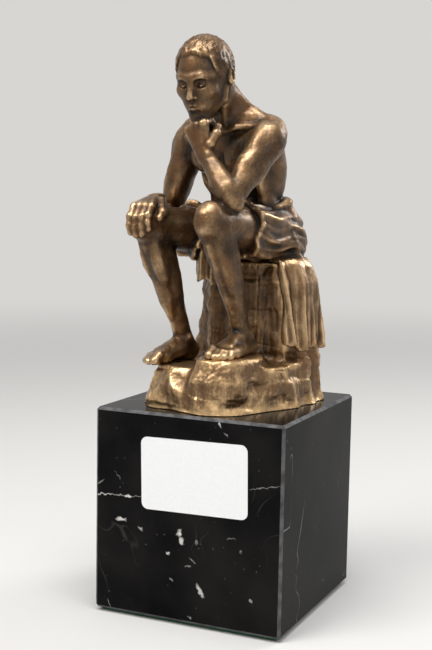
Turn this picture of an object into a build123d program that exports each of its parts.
from build123d import *
import os
from math import cos, pi, radians, sin, sqrt

# A bronze of a seated man in thought, on a rough rock, screwed to a black marble block.
# Millimetres, +Z up.  Origin: centre of the underside of the felt.  The labelled face looks along -Y.

# Plinth.
block_width = 88.0
block_depth = 88.0
block_height = 90.0
block_edge_bevel = 1.2
felt_thickness = 1.5
felt_inset = 3.0
label_width = 49.5
label_height = 31.5
label_corner_radius = 3.0
label_thickness = 0.2
label_centre_x = 3.5
label_below_edge = 26.0
label_tilt = 1.3

# Fixing between bronze and block.
stud_radius = 3.0
stud_hole_clearance = 0.5
thread_clearance = 0.05
stud_past_nut = 1.5
counterbore_radius = 12.0
counterbore_depth = 16.0
fixing_washer_radius = 10.0
fixing_washer_thickness = 1.6
nut_across_flats = 10.0
nut_thickness = 5.0
bar_width = 14.0
bar_thickness = 5.0
bar_side_gap = 6.5
bar_rise = 4.0
bar_screw_radius = 2.0
bar_screw_grip = 5.0
bar_screw_head_radius = 3.6
bar_screw_head_height = 2.2
lug_length = 11.0
screw_slot_width = 1.0
screw_slot_depth = 1.0
screw_hole_gap = 0.25

# Place of the bronze on the block.
statue_turn = -13.0
statue_set_back = 4.0

# Rock.
seat_height = 63.0
seat_half_width = 27.0
seat_half_depth = 20.0
seat_centre_y = 14.0
trunk_foot_flare = 6.0
mound_half_width = 35.0
mound_half_depth = 38.0
mound_centre_y = -3.0
rock_wall = 5.0
rock_roof = 6.0
step_half_width = 14.0
step_half_length = 21.0

# Joint between figure and rock.
tenon_radius = 6.0
tenon_clearance = 0.15
tenon_end_gap = 0.3
tenon_centre_y = 12.0
figure_screw_radius = 2.5
figure_screw_grip = 10.0
figure_screw_head_radius = 4.25
figure_screw_head_height = 5.0
figure_screw_socket_width = 4.0
figure_screw_socket_depth = 2.5
figure_washer_radius = 9.0
figure_washer_thickness = 1.5

# Sizes of the body.
hip_above_seat = 10.5
hip_set_back = 15.0
hip_half_span = 10.5
pelvis_half_width = 17.0
pelvis_half_depth = 13.0
trunk_length = 53.0
chest_half_width = 21.0
chest_half_depth = 13.2
back_bow = 3.4
shoulder_half_span = 21.0
shoulder_drop = 3.4
thigh_length = 54.0
thigh_radius = 10.6
shin_length = 55.0
calf_radius = 7.6
ankle_height = 9.0
foot_length = 33.0
foot_half_width = 6.2
foot_height = 11.0
heel_length = 8.5
toe_radius = 2.1
upper_arm_length = 42.0
upper_arm_radius = 6.7
forearm_length = 32.0
forearm_radius = 5.5
palm_length = 11.5
palm_half_width = 5.8
palm_half_depth = 3.0
finger_radius = 1.75
finger_length = 13.5
neck_radius = 8.8
head_half_breadth = 11.6
head_half_length = 14.2
head_half_height = 13.2
head_ahead = 17.5
head_above = 21.0
face_half_breadth = 9.7
face_half_depth = 9.0
chin_drop = 15.5
chin_reach = 9.0
ear_aside = 10.8
ear_half_sizes = (1.4, 2.4, 3.8)
brow_half_sizes = (2.0, 2.6, 7.8)
nose_half_sizes = (2.1, 2.4)
lips_half_sizes = (1.4, 1.8, 3.5)
hair_depth = 1.1

# Places on the head: how far ahead of its middle and how far above.
skull_place = (-1.1, 3.4)
hairline_place = (7.4, 9.5)
hairline_rise = 0.85
nape_place = (0.0, -7.6)
face_top_place = (3.8, 3.7)
face_foot_place = (7.0, -15.5)
brow_place = (9.9, 3.6)
nose_root_place = (11.2, 2.2)
nose_tip_place = (13.9, -4.9)
lips_place = (12.0, -8.9)
ear_place = (-1.1, -0.8)
neck_top_place = (-3.6, 0.0)

# Cloth round the hips.
cloth_thickness = 1.9
cloth_fold_height = 1.1
fall_fold_height = 1.2
cloth_waist_rise = 28.5
cloth_hip_half_width = 24.0
cloth_hip_half_depth = 16.0
cloth_leg_length = 33.0
apron_half_width = 10.5
apron_drop = 25.0
apron_ahead = 17.5
apron_fold_height = 1.3
fall_length = 38.0
fall_width = 30.0
fall_start_x = 10.0
fall_centre_y = 15.0
fall_hem_wave = 2.4
fall_top_share = 0.9
fall_gap = 0.3

# Pose, in degrees.
trunk_lean = 26.0
head_bow = 22.0
head_turn = 8.0
right_thigh_spread = -9.0
right_thigh_rise = 5.0
right_shin_tuck = 22.0
right_shin_lean = 3.0
right_toe_out = -8.0
left_thigh_spread = 5.0
left_thigh_rise = 7.5
left_shin_tuck = 28.0
left_shin_lean = -2.5
left_toe_out = 7.0
left_elbow_outward = 25.0
right_hand_turn = 12.0
right_hand_droop = 14.0
right_hand_set_back = 6.5
right_elbow_pull = (-0.5, 0.9, -0.3)
right_finger_curl = (34.0, 32.0, 20.0)
left_fist_line = (-0.30, -0.10, 0.95)
left_finger_curl = (82.0, 82.0, 60.0)

# Hand-chosen shares of the sizes above.
# rows of a limb: how far along the bone, width, depth, and shift towards the front of the limb
bead_shares = ((0.03, 0.34, 0.34, 0.00), (0.20, 0.78, 0.78, 0.00), (0.50, 1.00, 1.00, 0.00),
               (0.80, 0.78, 0.78, 0.00), (0.97, 0.34, 0.34, 0.00))
# heights of a ball's outlines, from pole to pole
ball_height_shares = (-0.97, -0.82, -0.54, -0.18, 0.18, 0.54, 0.82, 0.97)
thigh_shares = ((-0.16, 0.86, 0.84, -0.06), (0.04, 1.04, 1.02, 0.00), (0.35, 1.00, 1.00, 0.05),
                (0.68, 0.86, 0.88, 0.04), (0.88, 0.78, 0.81, 0.02), (1.02, 0.72, 0.75, 0.00),
                (1.10, 0.54, 0.58, 0.00), (1.14, 0.28, 0.32, 0.00))
shin_shares = ((-0.12, 0.48, 0.50, 0.04), (-0.05, 0.88, 0.92, 0.06), (0.08, 1.00, 1.02, 0.02),
               (0.27, 1.02, 1.10, -0.16), (0.50, 0.84, 0.94, -0.13), (0.78, 0.57, 0.64, -0.02),
               (1.00, 0.54, 0.60, 0.00), (1.10, 0.50, 0.46, 0.00))
upper_arm_shares = ((-0.22, 0.56, 0.56, 0.00), (-0.15, 0.98, 0.98, 0.00), (-0.02, 1.30, 1.30, 0.00),
                    (0.16, 1.32, 1.34, 0.00), (0.36, 1.06, 1.12, 0.02), (0.58, 0.96, 1.10, 0.10),
                    (0.86, 0.76, 0.80, 0.00), (1.03, 0.68, 0.70, 0.00), (1.09, 0.40, 0.42, 0.00))
forearm_shares = ((-0.13, 0.46, 0.46, 0.00), (-0.05, 0.82, 0.82, 0.00), (0.20, 1.06, 1.04, 0.00),
                  (0.45, 0.94, 0.90, 0.00), (0.82, 0.66, 0.58, 0.00), (1.02, 0.68, 0.54, 0.00))
palm_shares = ((-0.15, 0.62, 0.85, 0.00), (0.15, 0.80, 1.00, 0.00), (0.60, 1.00, 1.00, 0.00),
               (1.00, 0.96, 0.85, 0.00))
face_shares = ((-0.20, 0.66, 0.50, -0.40), (0.02, 0.98, 0.90, -0.06), (0.36, 1.02, 1.00, 0.02),
               (0.70, 0.84, 0.92, 0.06), (0.95, 0.56, 0.70, 0.14), (1.08, 0.28, 0.36, 0.18))
nose_shares = ((-0.20, 0.42, 0.40, 0.00), (0.20, 0.52, 0.62, 0.00), (0.75, 0.90, 1.00, 0.00),
               (1.00, 0.95, 0.90, 0.00), (1.15, 0.40, 0.40, 0.00))
# rows of the hip cloth: share of its rise, width, depth, and how far its middle moves forward
hip_cloth_shares = ((0.00, 0.97, 0.95, 0.00), (0.30, 1.00, 1.00, 0.00), (0.78, 0.84, 0.87, 0.25),
                    (0.90, 0.87, 0.89, 0.30), (1.00, 0.79, 0.82, 0.34))
# rows of a cloth leg: share of its length, width, depth
leg_cloth_shares = ((0.00, 1.04, 1.02), (0.50, 1.01, 1.00), (0.88, 0.94, 0.95), (1.00, 0.88, 0.88))
# rows of the apron: how far ahead and how far down it is, in shares, with width, thickness and fold height
apron_shares = ((0.00, 0.00, 0.80, 1.0, 0.1), (0.60, 0.04, 0.95, 1.0, 0.3), (0.95, 0.20, 1.00, 1.0, 0.6),
                (1.00, 0.55, 1.02, 0.9, 0.9), (0.98, 1.00, 1.12, 0.8, 1.0))
hem_shares = (0.2, -0.5, 0.6, -0.8, 0.4, -0.3)
neck_shares = ((-0.40, 1.50, 1.10, 0.00), (0.00, 1.18, 1.05, 0.00), (0.45, 0.98, 1.00, 0.00),
               (1.00, 0.92, 0.98, 0.00))
# rows of the trunk: share of its length, share of pelvis to chest, width, depth, bow of the back,
# depth of the furrow along the spine and of the one down the chest
trunk_shares = ((-0.19, 0.00, 0.88, 0.86, 0.0, 0.00, 0.00), (0.05, 0.00, 0.98, 0.98, 0.2, 0.04, 0.00),
                (0.22, 0.35, 0.88, 0.88, 0.7, 0.06, 0.04), (0.40, 0.60, 0.80, 0.82, 1.0, 0.07, 0.04),
                (0.56, 0.80, 0.89, 0.92, 1.0, 0.07, 0.04), (0.70, 0.90, 0.99, 0.98, 1.0, 0.09, 0.03),
                (0.80, 0.96, 1.05, 0.97, 0.8, 0.10, 0.07), (0.92, 1.00, 1.06, 0.92, 0.5, 0.08, 0.06),
                (1.04, 1.00, 0.92, 0.74, 0.3, 0.04, 0.02), (1.16, 1.00, 0.44, 0.50, 0.0, 0.00, 0.00))
# rows of a foot: share of its length from the heel, width, share of its height
foot_shares = ((0.00, 0.45, 0.62), (0.10, 0.66, 0.86), (0.28, 0.66, 1.00), (0.50, 0.74, 0.84),
               (0.72, 0.92, 0.58), (0.88, 0.92, 0.40), (0.93, 0.60, 0.28))
foot_section_shares = (1.00, 0.95, 1.00, 0.95) * 3
toe_width_shares = (-0.66, -0.24, 0.10, 0.40, 0.68)
toe_along_shares = (0.97, 0.96, 0.93, 0.89, 0.84)
toe_size_shares = (1.30, 1.00, 0.95, 0.90, 0.85)
finger_width_shares = (-0.72, -0.24, 0.24, 0.72)
finger_length_shares = (0.90, 1.00, 0.96, 0.78)
knuckle_shares = (0.00, 0.45, 0.75, 1.00)
finger_girth_shares = (1.00, 1.02, 0.94, 0.80)
fingertip_girth_share = 0.42
fingertip_length_share = 0.55
# radial shares of the rock's outlines every 30 degrees, from the figure's left round its back
trunk_height_shares = (0.0, 0.30, 0.62, 0.86, 1.0)
trunk_outline_shares = (
    (1.00, 1.04, 0.98, 1.02, 1.05, 0.98, 1.02, 0.98, 0.94, 0.80, 0.94, 1.00),
    (0.98, 1.02, 1.00, 0.97, 1.02, 1.00, 0.97, 0.94, 0.86, 0.74, 0.86, 0.95),
    (1.00, 0.97, 1.02, 1.00, 0.98, 1.02, 1.00, 0.95, 0.88, 0.80, 0.90, 0.98),
    (1.02, 1.00, 1.00, 1.02, 1.00, 0.98, 1.00, 0.99, 0.97, 0.93, 0.99, 1.02),
    (0.94, 0.92, 0.90, 0.92, 0.90, 0.90, 0.93, 0.95, 0.98, 0.99, 1.00, 0.97))
mound_height_shares = (0.0, 0.45, 1.0)
mound_outline_shares = (
    (1.00, 0.98, 1.02, 0.98, 1.00, 1.03, 1.02, 1.08, 1.12, 1.03, 0.98, 1.03),
    (0.97, 0.97, 0.99, 0.96, 0.98, 0.99, 1.00, 1.04, 1.11, 1.01, 0.99, 0.99),
    (0.86, 0.88, 0.92, 0.92, 0.90, 0.88, 0.88, 0.97, 1.07, 0.98, 0.90, 0.86))
step_shares = ((0.0, 1.05), (0.6, 1.02), (1.0, 0.86))
# flats chiselled off the rock: turn from the figure's left, tilt above level, and bite as a share of the wall
column_flats = ((198, 4, 0.55), (232, 10, 0.50), (158, 2, 0.50), (122, 8, 0.60), (92, 3, 0.55),
                (62, 12, 0.50), (176, 32, 0.40), (108, 36, 0.50), (140, 24, 0.45))
shelf_flats = ((252, 26, 0.70), (284, 30, 0.60), (318, 20, 0.70), (345, 6, 0.50), (214, 20, 0.70),
               (190, 10, 0.50), (236, 44, 0.60), (304, 46, 0.60), (202, 48, 0.55))
furrow_count = 13
furrow_twist = 0.9
furrow_share = 0.030
outline_steps = 36
left_elbow_along_share = 0.87
limb_sides = 12
trunk_sides = 16
small_sides = 8
steps_per_fold = 4
fold_count = 7
leg_fold_twist = 0.5
hip_fold_twist = 0.6
apron_fold_count = 3
fall_fold_count = 13

# Places worked out from the sizes above.
block_top = felt_thickness + block_height
counterbore_top = felt_thickness + counterbore_depth
nut_top = counterbore_top - fixing_washer_thickness
nut_bottom = nut_top - nut_thickness
stud_y = -statue_set_back
bar_length = 2 * (mound_half_width - rock_wall - bar_side_gap)
lug_centre_x = bar_length / 2 - lug_length / 2
roof_bottom = seat_height - rock_roof


def heading(spread, rise):
    """Unit vector that looks forward (-Y), turned outwards by spread and lifted by rise."""
    return Vector(sin(radians(spread)) * cos(radians(rise)), -cos(radians(spread)) * cos(radians(rise)),
                  sin(radians(rise)))


def shin_heading(tuck, lean):
    """Unit vector down a shin, tucked back under the seat and leaning sideways."""
    return Vector(sin(radians(lean)), sin(radians(tuck)), -cos(radians(tuck))).normalized()


def elbow_between(shoulder, wrist, upper, lower, towards):
    """Elbow of two bones of given length between shoulder and wrist, bent to the side named."""
    reach = wrist - shoulder
    line = reach.normalized()
    along = (upper**2 - lower**2 + reach.length**2) / (2 * reach.length)
    height = sqrt(max(upper**2 - along**2, 0))
    aside = (towards - line * towards.dot(line)).normalized()
    return shoulder + line * along + aside * height


left, back, up = Vector(1, 0, 0), Vector(0, 1, 0), Vector(0, 0, 1)
pelvis = Vector(0, hip_set_back, seat_height + hip_above_seat)
right_hip = pelvis - left * hip_half_span
left_hip = pelvis + left * hip_half_span
right_knee = right_hip + heading(right_thigh_spread, right_thigh_rise) * thigh_length
left_knee = left_hip + heading(left_thigh_spread, left_thigh_rise) * thigh_length
right_ankle = right_knee + shin_heading(right_shin_tuck, right_shin_lean) * shin_length
left_ankle = left_knee + shin_heading(left_shin_tuck, left_shin_lean) * shin_length
right_sole = right_ankle.Z - ankle_height
left_sole = left_ankle.Z - ankle_height

trunk_up = Vector(0, -sin(radians(trunk_lean)), cos(radians(trunk_lean)))
trunk_back = Vector(0, cos(radians(trunk_lean)), sin(radians(trunk_lean)))
neck_base = pelvis + trunk_up * trunk_length
shoulder_middle = neck_base - trunk_up * shoulder_drop
right_shoulder = shoulder_middle - left * shoulder_half_span
left_shoulder = shoulder_middle + left * shoulder_half_span

head_centre = neck_base + Vector(0, -head_ahead, head_above)
head_left = Vector(cos(radians(head_turn)), sin(radians(head_turn)), 0)
level_ahead = Vector(sin(radians(head_turn)), -cos(radians(head_turn)), 0)
head_up = up * cos(radians(head_bow)) + level_ahead * sin(radians(head_bow))
head_ahead_line = level_ahead * cos(radians(head_bow)) - up * sin(radians(head_bow))
chin = head_centre + head_ahead_line * chin_reach - head_up * chin_drop

fist_line = Vector(*left_fist_line).normalized()
fist_palm = (back - fist_line * back.dot(fist_line)).normalized()
left_wrist = chin - back * (2 * finger_radius) - up * (2 * finger_radius) - fist_line * palm_length
thigh_contact = left_hip + (left_knee - left_hip) * left_elbow_along_share
elbow_seat = thigh_radius * thigh_shares[4][1] + forearm_radius * forearm_shares[1][1] * 0.8
elbow_side = Vector(sin(radians(left_elbow_outward)), 0, cos(radians(left_elbow_outward)))
left_elbow = thigh_contact + elbow_side * elbow_seat
knee_top = thigh_radius * thigh_shares[5][2] + forearm_radius * forearm_shares[5][2]
right_wrist = right_knee + up * knee_top - left * palm_half_depth + back * right_hand_set_back
right_elbow = elbow_between(right_shoulder, right_wrist, upper_arm_length, forearm_length,
                            Vector(*right_elbow_pull))
resting_line = heading(right_hand_turn, -right_hand_droop)
resting_palm = (resting_line * up.dot(resting_line) - up).normalized()


# Small builders.
def ring(centre, normal, side, half_width, half_depth, radial_shares):
    """Closed outline round a centre, square to normal, with one point per radial share."""
    across = (side - normal * side.dot(normal)).normalized()
    front = normal.cross(across)
    turns = [2 * pi * i / len(radial_shares) for i in range(len(radial_shares))]
    return [centre + across * (half_width * s * cos(t)) + front * (half_depth * s * sin(t))
            for t, s in zip(turns, radial_shares)]


def faceted(rings):
    """Solid with flat triangles between successive outlines and a flat face on each end."""
    faces = [Face(Wire.make_polygon(rings[0])), Face(Wire.make_polygon(rings[-1]))]
    for low, high in zip(rings, rings[1:]):
        for a, b, c, d in zip(low, low[1:] + low[:1], high[1:] + high[:1], high):
            faces += [Face(Wire.make_polygon([a, b, c])), Face(Wire.make_polygon([a, c, d]))]
    return Solid(Shell(faces))


def limb(start, end, side, half_width, half_depth, shares, sides=limb_sides):
    """Faceted form along a bone; rows of shares give place, width, depth and shift square to the side."""
    bone = end - start
    line = bone.normalized()
    front = line.cross((side - line * side.dot(line)).normalized())
    return faceted([ring(start + bone * along + front * (half_depth * shift), line, side, half_width * width,
                         half_depth * depth, (1,) * sides) for along, width, depth, shift in shares])


def bead(centre, side, top, half_side, half_ahead, half_top):
    """Small rounded form of three half sizes, faceted like a cut bead."""
    reach = top * half_top
    return limb(centre - reach, centre + reach, side, half_side, half_ahead, bead_shares, small_sides)


def ball(centre, side, top, half_side, half_ahead, half_top):
    """Faceted ball stretched to three half sizes and turned to its own axes."""
    rings = []
    for height in ball_height_shares:
        girth = sqrt(1 - height**2)
        middle = centre + top * (half_top * height)
        rings.append(ring(middle, top, side, half_side * girth, half_ahead * girth, (1,) * trunk_sides))
    return faceted(rings)


def finger(points, side, girth):
    """Bent finger: rings square to the path through its knuckles, closed by a small blunt tip."""
    last = points[-1]
    end_line = (last - points[-2]).normalized()
    tangents = [points[1] - points[0]] + [b - a for a, b in zip(points, points[2:])] + [end_line]
    round_shares = (1,) * small_sides
    rings = [ring(p, t.normalized(), side, girth * g, girth * g, round_shares)
             for p, t, g in zip(points, tangents, finger_girth_shares)]
    tip_girth = girth * fingertip_girth_share
    tip = last + end_line * (girth * fingertip_length_share)
    return faceted(rings + [ring(tip, end_line, side, tip_girth, tip_girth, round_shares)])


def disc(radius, low, high):
    """Upright cylinder between two heights on the Z axis."""
    return Pos(0, 0, (low + high) / 2) * Cylinder(radius, high - low)


# Figure.
def trunk():
    """Back, chest and belly from under the pelvis to the root of the neck, furrowed along spine and chest."""
    rings = []
    quarter = trunk_sides // 4
    for along, towards_chest, width, depth, bow, spine, breast in trunk_shares:
        half_width = pelvis_half_width + (chest_half_width - pelvis_half_width) * towards_chest
        half_depth = pelvis_half_depth + (chest_half_depth - pelvis_half_depth) * towards_chest
        centre = pelvis + trunk_up * (trunk_length * along) + trunk_back * (back_bow * bow)
        shares = [1.0] * trunk_sides
        for middle, furrow in ((quarter, spine), (3 * quarter, breast)):
            shares[middle] -= furrow
            shares[middle - 1] += furrow / 2
            shares[middle + 1] += furrow / 2
        rings.append(ring(centre, trunk_up, left, half_width * width, half_depth * depth, shares))
    return faceted(rings)


def on_head(place, aside=0.0):
    """Point on the head, given by how far it is ahead of its middle, above it and to its left."""
    ahead, above = place
    return head_centre + head_ahead_line * ahead + head_up * above + head_left * aside


def head():
    """Skull, face, nose, brow, ears and a cap of short hair, bowed over the raised hand."""
    skull_centre = on_head(skull_place)
    skull = ball(skull_centre, head_left, head_up, head_half_breadth - hair_depth,
                 head_half_length - hair_depth, head_half_height - hair_depth)
    hair = ball(skull_centre, head_left, head_up, head_half_breadth, head_half_length, head_half_height)
    hair_slope = (head_ahead_line - head_up * hairline_rise).normalized()
    hair = split(hair, bisect_by=Plane(origin=on_head(hairline_place), z_dir=hair_slope), keep=Keep.BOTTOM)
    hair = split(hair, bisect_by=Plane(origin=on_head(nape_place), z_dir=head_up), keep=Keep.TOP)
    face = limb(on_head(face_top_place), on_head(face_foot_place), head_left, face_half_breadth,
                face_half_depth, face_shares)
    brow = bead(on_head(brow_place), head_up, head_left, *brow_half_sizes)
    nose = limb(on_head(nose_root_place), on_head(nose_tip_place), head_left, *nose_half_sizes, nose_shares,
                small_sides)
    lips = bead(on_head(lips_place), head_up, head_left, *lips_half_sizes)
    ears = [bead(on_head(ear_place, side * ear_aside), head_left, head_up, *ear_half_sizes)
            for side in (-1, 1)]
    return [skull, hair, face, brow, nose, lips] + ears


def arm(shoulder, elbow, wrist):
    """Upper arm with the cap of the shoulder, and forearm, each ending rounded inside its neighbour."""
    return [limb(shoulder, elbow, left, upper_arm_radius, upper_arm_radius, upper_arm_shares),
            limb(elbow, wrist, left, forearm_radius, forearm_radius, forearm_shares)]


def leg(hip, knee, ankle):
    """Thigh and shin."""
    return [limb(hip, knee, left, thigh_radius, thigh_radius, thigh_shares),
            limb(knee, ankle, left, calf_radius, calf_radius, shin_shares)]


def foot(ankle, sole, toe_out, inner):
    """Bare foot with a flat sole; inner is +1 where the big toe lies on the +X side."""
    ahead = heading(toe_out, 0)
    across = Vector(-ahead.Y, ahead.X, 0)
    heel = Vector(ankle.X, ankle.Y, sole) - ahead * heel_length
    rings = [ring(heel + ahead * (foot_length * along), ahead, across, foot_half_width * width,
                  foot_height * height, foot_section_shares) for along, width, height in foot_shares]
    pieces = [faceted(rings)]
    for place, along, size in zip(toe_width_shares, toe_along_shares, toe_size_shares):
        girth = toe_radius * size
        aside = across * (inner * foot_half_width * place)
        centre = heel + ahead * (foot_length * along) - aside + up * (girth * 0.55)
        pieces.append(bead(centre, across, ahead, girth * 0.92, girth, girth * 1.9))
    bare = pieces[0] + pieces[1:]
    return split(bare, bisect_by=Plane(origin=(0, 0, sole), z_dir=up), keep=Keep.TOP)


def hand(wrist, along, palm_down, thumb_side, curl, thumb_fold):
    """Palm, four fingers that curl by the angles given, and a thumb folded in by a share."""
    across = along.cross(palm_down).normalized()
    knuckles = wrist + along * palm_length
    pieces = [limb(wrist, knuckles, across, palm_half_width, palm_half_depth, palm_shares, small_sides)]
    for place, length in zip(finger_width_shares, finger_length_shares):
        points = [knuckles - along * finger_radius + across * (palm_half_width * place)]
        angle = 0.0
        for turn, share, before in zip(curl, knuckle_shares[1:], knuckle_shares):
            angle += turn
            step = along * cos(radians(angle)) + palm_down * sin(radians(angle))
            points.append(points[-1] + step * (finger_length * length * (share - before)))
        pieces.append(finger(points, across, finger_radius))
    open_share = 1 - thumb_fold
    root = wrist + along * (palm_length * 0.25) + across * (thumb_side * palm_half_width * 0.75)
    spread = (along * (1 - 0.4 * thumb_fold) + across * (thumb_side * 0.55 * open_share)
              + palm_down * (0.45 + 0.4 * thumb_fold)).normalized()
    tip = (along * (1 - 0.9 * thumb_fold) + palm_down * (0.35 + 0.5 * thumb_fold)
           - across * (thumb_side * 0.6 * thumb_fold)).normalized()
    points = [root, root + spread * (finger_length * 0.35), root + spread * (finger_length * 0.62),
              root + spread * (finger_length * 0.62) + tip * (finger_length * 0.35)]
    pieces.append(finger(points, across, finger_radius * 1.15))
    return pieces


# Cloth.
def fold_shares(height, phase):
    """Radial shares of an outline with folds, each as high as the share given."""
    steps = fold_count * steps_per_fold
    return [1 + height * cos(2 * pi * fold_count * i / steps + phase) for i in range(steps)]


def folded_band(centre, normal, half_width, thickness, fold_height, folds):
    """Points round a hanging cloth seen from above: a thin band that goes to and fro."""
    steps = 2 * folds
    places = [half_width * (2 * i / steps - 1) for i in range(steps + 1)]
    sways = [fold_height * (1 if i % 2 else -1) for i in range(steps + 1)]
    front = [(p, s - thickness / 2) for p, s in zip(places, sways)]
    rear = [(p, s + thickness / 2) for p, s in zip(places, sways)]
    ahead = normal.cross(left).normalized()
    return [centre + left * x + ahead * y for x, y in front + rear[::-1]]


def hip_wrap():
    """Cloth wound round the hips, from the seat up to a thick edge at the waist."""
    rings = []
    half_width, half_depth = cloth_hip_half_width, cloth_hip_half_depth
    for row, (rise, width, depth, forward) in enumerate(hip_cloth_shares):
        centre = Vector(0, hip_set_back - forward * half_depth, seat_height + cloth_waist_rise * rise)
        folds = fold_shares(cloth_fold_height / half_width, row * hip_fold_twist)
        rings.append(ring(centre, up, left, half_width * width, half_depth * depth, folds))
    return faceted(rings)


def leg_wrap(hip, knee, phase):
    """Cloth round a thigh, folded lengthwise, with a turned-in hem above the knee."""
    line = (knee - hip).normalized()
    rings = []
    for row, (along, width, depth) in enumerate(leg_cloth_shares):
        rings.append(ring(hip + line * (cloth_leg_length * along), line, left,
                          thigh_radius * width + cloth_thickness, thigh_radius * depth + cloth_thickness,
                          fold_shares(cloth_fold_height / thigh_radius, phase + row * leg_fold_twist)))
    return faceted(rings)


def apron():
    """Cloth that spans the lap and hangs between the knees in folds that deepen to its hem."""
    top = (right_hip + left_hip) / 2 + up * (thigh_radius * 0.35)
    places = [top - back * (hip_set_back + apron_ahead) * ahead - up * (apron_drop * down)
              for ahead, down, *_ in apron_shares]
    tangents = ([places[1] - places[0]] + [b - a for a, b in zip(places, places[2:])] + [-up])
    rings = [folded_band(p, t.normalized(), apron_half_width * width, cloth_thickness * thick,
                         apron_fold_height * fold, apron_fold_count)
             for p, t, (_, _, width, thick, fold) in zip(places, tangents, apron_shares)]
    return faceted(rings)


# Rock.
def share_between(outline, place):
    """Radial share at a place counted in steps of the outline."""
    whole, part = divmod(place, 1)
    count = len(outline)
    return outline[int(whole) % count] * (1 - part) + outline[(int(whole) + 1) % count] * part


def furrowed(outlines):
    """The outlines with more steps, and furrows that turn a little from one height to the next."""
    rows = []
    for row, outline in enumerate(outlines):
        shares = []
        for i in range(outline_steps):
            turn = 2 * pi * i / outline_steps
            shares.append(share_between(outline, i * len(outline) / outline_steps)
                          + furrow_share * cos(furrow_count * turn + row * furrow_twist))
        rows.append(shares)
    return rows


def stacked(centre_y, height, heights, outlines, half_width, half_depth, flare):
    """Stack of rough outlines round a centre up to a height, wider at the foot by the flare."""
    rings = []
    for share, outline in zip(heights, outlines):
        spread = flare * (1 - share)
        middle = Vector(0, centre_y, height * share)
        rings.append(ring(middle, up, left, half_width + spread, half_depth + spread, outline))
    return faceted(rings)


def chiselled(body, centre_y, height, heights, outlines, half_width, half_depth, flare, flats, inset):
    """Takes shallow flats off a rough stack; the inset moves them in with the hollow inside."""
    reach = []
    for share, outline in zip(heights, outlines):
        spread = flare * (1 - share)
        for i, s in enumerate(outline):
            turn = 2 * pi * i / len(outline)
            reach.append(Vector((half_width + spread) * s * cos(turn),
                                centre_y + (half_depth + spread) * s * sin(turn), height * share))
    for turn, tilt, bite in flats:
        level = cos(radians(tilt))
        normal = Vector(cos(radians(turn)) * level, sin(radians(turn)) * level, sin(radians(tilt)))
        support = max(normal.dot(point) for point in reach)
        cut = Plane(origin=normal * (support - rock_wall * bite - inset), z_dir=normal)
        body = split(body, bisect_by=cut, keep=Keep.BOTTOM)
    return body


def rock_column(grow, height, outlines):
    """Column under the seat, grown sideways by a length."""
    return stacked(seat_centre_y, height, trunk_height_shares, outlines,
                   seat_half_width + grow, seat_half_depth + grow, trunk_foot_flare)


def rough_column(inset, height, outlines):
    """Column with its chiselled flats, all moved in by the inset."""
    column = rock_column(-inset, height, outlines)
    return chiselled(column, seat_centre_y, seat_height, trunk_height_shares, trunk_outline_shares,
                     seat_half_width, seat_half_depth, trunk_foot_flare, column_flats, inset)


def rough_shelf(inset, height, outlines):
    """Low shelf in front of the column, on which the feet stand, with its chiselled flats."""
    shelf = stacked(mound_centre_y, height, mound_height_shares, outlines,
                    mound_half_width - inset, mound_half_depth - inset, 0)
    return chiselled(shelf, mound_centre_y, right_sole, mound_height_shares, mound_outline_shares,
                     mound_half_width, mound_half_depth, 0, shelf_flats, inset)


def foot_step(ankle, sole, toe_out):
    """Raised step of the shelf under one foot."""
    ahead = heading(toe_out, 0)
    middle = Vector(ankle.X, ankle.Y, 0) + ahead * (foot_length / 2 - heel_length)
    across = Vector(-ahead.Y, ahead.X, 0)
    rings = [ring(middle + up * (sole * rise), up, across, step_half_width * size, step_half_length * size,
                  outline) for (rise, size), outline in zip(step_shares, mound_outline_shares)]
    return faceted(rings)


def rock():
    """Hollow rough rock, open below: column, shelf and step, lugs for the bar, and a hole for the tenon."""
    step = foot_step(left_ankle, left_sole, left_toe_out)
    body = rough_column(0, seat_height, furrowed(trunk_outline_shares))
    body += [rough_shelf(0, right_sole, furrowed(mound_outline_shares)), step]
    body -= [rough_column(rock_wall, roof_bottom, trunk_outline_shares),
             rough_shelf(rock_wall, right_sole - rock_wall, mound_outline_shares)]
    lug_top = right_sole - rock_wall / 2
    lug_bottom = bar_rise + bar_thickness
    for side in (-1, 1):
        place = Pos(side * lug_centre_x, stud_y, 0)
        lug = Box(lug_length, bar_width, lug_top - lug_bottom)
        body += place * Pos(0, 0, (lug_top + lug_bottom) / 2) * lug
        body -= place * disc(bar_screw_radius + thread_clearance, bar_rise, lug_bottom + bar_screw_grip)
    hole = disc(tenon_radius + tenon_clearance, roof_bottom - rock_roof, seat_height + rock_roof)
    return body - Pos(0, tenon_centre_y, 0) * hole


# Figure as one casting.
def cloth_fall():
    """Cloth spread under the left hip and hanging down the rock's side, its back the shape of the rock."""
    steps = steps_per_fold * fall_fold_count
    wave = fall_fold_height / seat_half_width
    bare = furrowed(trunk_outline_shares)
    folded = []
    for outline in bare:
        folded.append([share_between(outline, i * len(outline) / steps)
                       + wave * cos(2 * pi * fall_fold_count * i / steps) for i in range(steps)])
    skin = rock_column(fall_gap + cloth_thickness, seat_height + cloth_thickness, folded)
    skin -= rock_column(fall_gap, seat_height, bare)
    hem = seat_height - fall_length
    half = fall_width / 2
    points = [(half * (1 - 2 * i / (len(hem_shares) - 1)), hem + fall_hem_wave * share)
              for i, share in enumerate(hem_shares)]
    top = seat_height + 2 * cloth_thickness
    top_half = half * fall_top_share
    side = make_face(Polyline(*points, (-top_half, top), (top_half, top), close=True))
    window = extrude(side, seat_half_width * 1.2)
    return skin & Plane(origin=(fall_start_x, fall_centre_y, 0), x_dir=back, z_dir=left) * window


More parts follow.
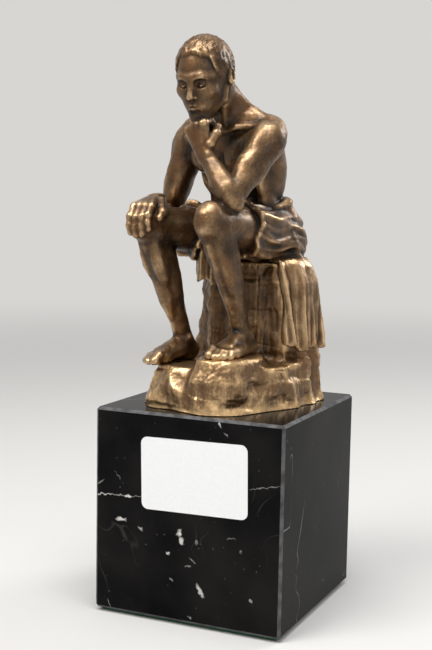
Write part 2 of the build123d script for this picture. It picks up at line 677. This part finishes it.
def figure():
    """The whole man, his cloth and the tenon under the seat, joined into one casting."""
    right_leg = leg(right_hip, right_knee, right_ankle)
    left_leg = leg(left_hip, left_knee, left_ankle)
    body = trunk() + [hip_wrap(), leg_wrap(right_hip, right_knee, 0), leg_wrap(left_hip, left_knee, 1),
                      right_leg[0], left_leg[0]]
    body = split(body, bisect_by=Plane(origin=(0, 0, seat_height), z_dir=up), keep=Keep.TOP)
    body += head() + [neck(), right_leg[1], left_leg[1], apron(), cloth_fall()]
    body += arm(right_shoulder, right_elbow, right_wrist)
    body += arm(left_shoulder, left_elbow, left_wrist)
    body += [foot(right_ankle, right_sole, right_toe_out, 1), foot(left_ankle, left_sole, left_toe_out, -1)]
    body += hand(right_wrist, resting_line, resting_palm, 1, right_finger_curl, 0)
    body += hand(left_wrist, fist_line, fist_palm, -1, left_finger_curl, 1)
    axis = Pos(0, tenon_centre_y, 0)
    tenon_end = roof_bottom + tenon_end_gap
    body += axis * disc(tenon_radius, tenon_end, seat_height + hip_above_seat)
    return body - axis * disc(figure_screw_radius + thread_clearance, roof_bottom - rock_roof,
                              roof_bottom + figure_screw_grip)


def neck():
    """Neck from the root of the back into the skull."""
    return limb(neck_base + trunk_back * back_bow, on_head(neck_top_place), left, neck_radius, neck_radius,
                neck_shares)


# Plinth and fixings.
def marble_block():
    """Block with bevelled edges, a hole for the stud and a counterbore from below."""
    block = Pos(0, 0, felt_thickness + block_height / 2) * Box(block_width, block_depth, block_height)
    block = chamfer(block.edges(), block_edge_bevel)
    block -= disc(stud_radius + stud_hole_clearance, 0, block_top + felt_thickness)
    return block - disc(counterbore_radius, 0, counterbore_top)


def base_felt():
    """Felt sheet stuck under the block, a little inside its edges."""
    return Pos(0, 0, felt_thickness / 2) * Box(block_width - 2 * felt_inset, block_depth - 2 * felt_inset,
                                               felt_thickness)


def blank_label():
    """Blank sticky label with round corners on the front face."""
    sheet = extrude(RectangleRounded(label_width, label_height, label_corner_radius), label_thickness)
    face = Plane(origin=(label_centre_x, -block_depth / 2, block_top - label_below_edge), x_dir=(1, 0, 0),
                 z_dir=(0, -1, 0))
    return face * Rot(0, 0, label_tilt) * sheet


def washer(radius, hole, low, high):
    """Flat round washer."""
    return disc(radius, low, high) - disc(hole, 2 * low - high, 2 * high - low)


def slotted_screw(radius, head_radius, head_height, bottom, seat, top):
    """Pan-head screw driven from below: head under the seat height, shank up to the top."""
    screw = disc(head_radius, bottom, bottom + head_height) + disc(radius, seat, top)
    slot = Pos(0, 0, bottom) * Box(head_radius * 3, screw_slot_width, 2 * screw_slot_depth)
    return screw - slot


def mounting_bar():
    """Flat bar across the hollow rock, tapped for the stud and drilled for its two screws."""
    middle = bar_rise + bar_thickness / 2
    bar = Pos(0, stud_y, middle) * Box(bar_length, bar_width, bar_thickness)
    bar -= Pos(0, stud_y, middle) * disc(stud_radius + thread_clearance, -bar_thickness, bar_thickness)
    hole = disc(bar_screw_radius + screw_hole_gap, -bar_thickness, bar_thickness)
    return bar - [Pos(side * lug_centre_x, stud_y, middle) * hole for side in (-1, 1)]


def bar_screws():
    """The two screws that hold the bar up against its lugs."""
    one = slotted_screw(bar_screw_radius, bar_screw_head_radius, bar_screw_head_height,
                        bar_rise - bar_screw_head_height, bar_rise, bar_rise + bar_thickness + bar_screw_grip)
    return Compound(children=[Pos(side * lug_centre_x, stud_y, 0) * one for side in (-1, 1)])


def figure_screw():
    """Socket-head screw up through the washer into the tenon."""
    roof = roof_bottom - figure_washer_thickness
    head_low = roof - figure_screw_head_height
    screw = disc(figure_screw_head_radius, head_low, roof) + disc(figure_screw_radius, roof,
                                                                  roof_bottom + figure_screw_grip)
    hexagon = RegularPolygon(figure_screw_socket_width / 2, 6, major_radius=False)
    socket = Pos(0, 0, head_low - figure_screw_socket_depth) * extrude(hexagon, 2 * figure_screw_socket_depth)
    return Pos(0, tenon_centre_y, 0) * (screw - socket)


def figure_washer():
    """Washer that bears on the rock's roof round the tenon."""
    return Pos(0, tenon_centre_y, 0) * washer(figure_washer_radius, figure_screw_radius + screw_hole_gap,
                                              roof_bottom - figure_washer_thickness, roof_bottom)


def fixing_stud():
    """Threaded stud from the bar down through the block."""
    return disc(stud_radius, nut_bottom - stud_past_nut, block_top + bar_rise + bar_thickness)


def fixing_nut():
    """Hexagon nut inside the counterbore."""
    hexagon = RegularPolygon(nut_across_flats / 2, 6, major_radius=False)
    body = Pos(0, 0, nut_bottom) * extrude(hexagon, nut_thickness)
    return body - disc(stud_radius + thread_clearance, nut_bottom - nut_thickness, nut_top + nut_thickness)


def on_block(piece):
    """Turns a piece of the bronze to its place on top of the block."""
    return Pos(0, 0, block_top) * Rot(0, 0, statue_turn) * Pos(0, statue_set_back, 0) * piece


def main():
    os.makedirs("parts", exist_ok=True)
    nodes = {
        "seated_figure": on_block(figure()),
        "rock_mound": on_block(rock()),
        "figure_screw": on_block(figure_screw()),
        "figure_washer": on_block(figure_washer()),
        "mounting_bar": on_block(mounting_bar()),
        "mounting_bar_screws": on_block(bar_screws()),
        "marble_block": marble_block(),
        "fixing_stud": fixing_stud(),
        "fixing_washer": washer(fixing_washer_radius, stud_radius + screw_hole_gap, nut_top, counterbore_top),
        "fixing_nut": fixing_nut(),
        "base_felt": base_felt(),
        "blank_label": blank_label(),
    }
    for name, shape in nodes.items():
        export_step(shape, f"parts/{name}.step")


main()
